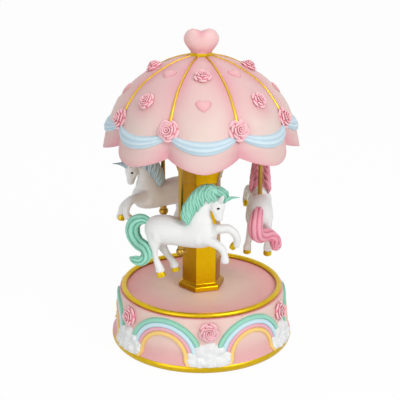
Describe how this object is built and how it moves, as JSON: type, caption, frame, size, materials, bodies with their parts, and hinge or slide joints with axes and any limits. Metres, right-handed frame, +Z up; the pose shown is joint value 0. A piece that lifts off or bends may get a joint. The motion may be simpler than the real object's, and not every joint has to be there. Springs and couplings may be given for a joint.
{
  "type": "carousel music box",
  "caption": "Wind-up carousel music box with a lobed canopy, a hexagonal column and unicorns hung on poles, turning above a round base with rainbow and cloud reliefs.",
  "frame": {"origin": "centre of the base's underside, on the axis that the carousel turns about", "axes": "+Z up along the column, -Y towards the front, +X to the right seen from the front"},
  "size_m": [0.1088, 0.1088, 0.1794],
  "materials": {
    "pink_resin": "hand-painted cast resin, satin",
    "gold_paint": "gold-painted resin, satin sheen",
    "column_gold": "gold-painted resin, satin sheen",
    "rainbow_green": "painted resin",
    "rainbow_blue": "painted resin",
    "rainbow_pink": "painted resin",
    "rainbow_yellow": "painted resin",
    "cloud_white": "painted resin",
    "rose_pink": "painted resin",
    "heart_pink": "painted resin, satin",
    "swag_blue": "painted resin",
    "unicorn_resin": "hand-painted cast resin, satin",
    "pole_brass": "polished",
    "cover_plastic": "moulded, fine grain",
    "steel": "bright",
    "key_steel": "plated",
    "brass": "turned",
    "fly_plastic": "moulded"
  },
  "bodies": {
    "base": {"base_shell": "pink_resin", "foot_rim": "gold_paint", "deck_ring": "gold_paint", "rainbow_green": "rainbow_green", "rainbow_blue": "rainbow_blue", "rainbow_pink": "rainbow_pink", "rainbow_yellow": "rainbow_yellow", "cloud_reliefs": "cloud_white", "base_roses": "rose_pink", "bottom_cover": "cover_plastic", "cover_screws": "steel", "deck_bush": "brass", "movement_bedplate": "steel", "movement_screws": "steel", "comb": "steel", "comb_screws": "steel", "governor_bracket": "brass", "ratchet_spring": "steel"},
    "carousel": {"spring_barrel": "brass", "barrel_cap": "brass", "mainspring": "steel", "output_shaft": "steel", "column": "column_gold", "canopy_shell": "pink_resin", "canopy_ribs": "gold_paint", "crown_ring": "gold_paint", "heart_finial": "heart_pink", "finial_pin": "steel", "swags": "swag_blue", "rib_roses": "rose_pink", "panel_roses": "rose_pink", "panel_hearts": "heart_pink", "pole_front": "pole_brass", "ball_front": "pole_brass", "unicorn_front": "unicorn_resin", "pole_right": "pole_brass", "ball_right": "pole_brass", "unicorn_right": "unicorn_resin", "pole_left": "pole_brass", "ball_left": "pole_brass", "unicorn_left": "unicorn_resin"},
    "key": {"winding_key": "key_steel", "winding_arbor": "steel"},
    "cylinder": {"music_cylinder": "brass", "cylinder_arbor": "steel", "cylinder_pinion": "brass", "cylinder_wheel": "brass"},
    "governor": {"governor_arbor": "steel", "governor_fly": "fly_plastic"}
  },
  "joints": [
    {"name": "carousel_spin", "type": "hinge", "parent": "base", "child": "carousel", "pos_m": [0, 0, 0.0305], "axis": [0, 0, 1], "continuous": true},
    {"name": "key_wind", "type": "hinge", "parent": "base", "child": "key", "pos_m": [0, 0, 0.004], "axis": [0, 0, 1], "range_deg": [0, 1260]},
    {"name": "cylinder_spin", "type": "hinge", "parent": "base", "child": "cylinder", "pos_m": [0.02335, 0, 0.0185], "axis": [1, 0, 0], "continuous": true},
    {"name": "governor_spin", "type": "hinge", "parent": "base", "child": "governor", "pos_m": [0.035, -0.00605, 0.0185], "axis": [1, 0, 0], "continuous": true}
  ],
  "couplings": [
    {"joint": "cylinder_spin", "follows": "carousel_spin", "ratio": -3},
    {"joint": "governor_spin", "follows": "carousel_spin", "ratio": 9}
  ]
}
